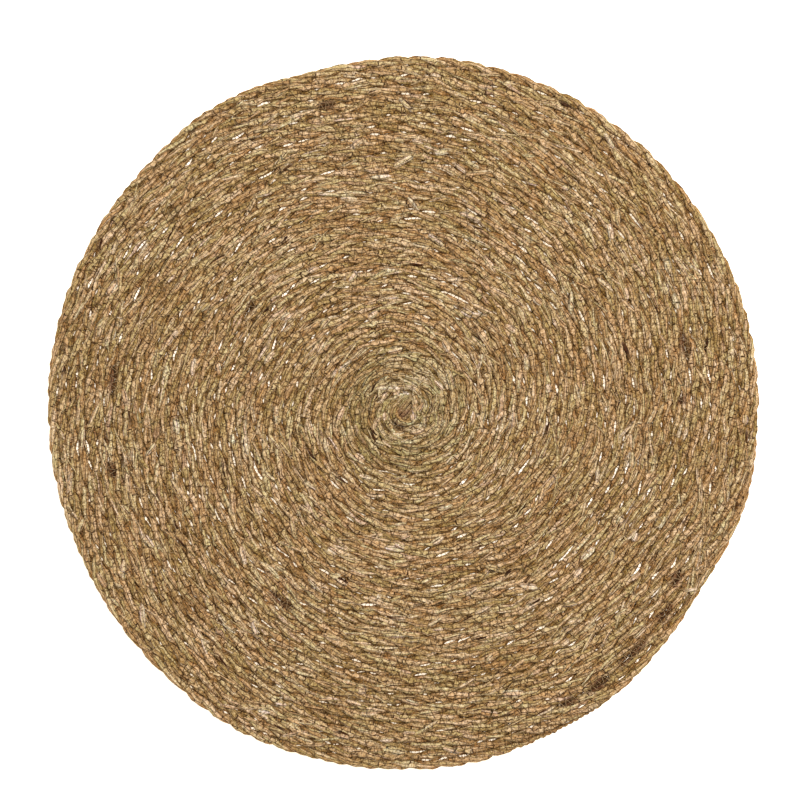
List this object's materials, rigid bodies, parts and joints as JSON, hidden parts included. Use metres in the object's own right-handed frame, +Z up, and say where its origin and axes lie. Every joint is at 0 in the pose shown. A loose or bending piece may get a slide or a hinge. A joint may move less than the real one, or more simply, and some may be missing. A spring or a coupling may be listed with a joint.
{
  "type": "round coiled seagrass placemat",
  "caption": "Flat round placemat of twisted seagrass cord, coiled and sewn row to row, that lies on a table under a plate.",
  "frame": {"origin": "centre of the coil on the underside, where the mat rests", "axes": "+Z up through the mat's thickness; the cord's last end is at the rim between 281 and 304 degrees anticlockwise from +X"},
  "size_m": [0.3797, 0.3811, 0.0052],
  "materials": {
    "seagrass": "matt dry twisted grass cord, straw brown with olive and tan plies",
    "thread": "fine brown sewing thread, zigzag over each row"
  },
  "bodies": {
    "root": {"coiled_mat": "seagrass"}
  },
  "joints": []
}
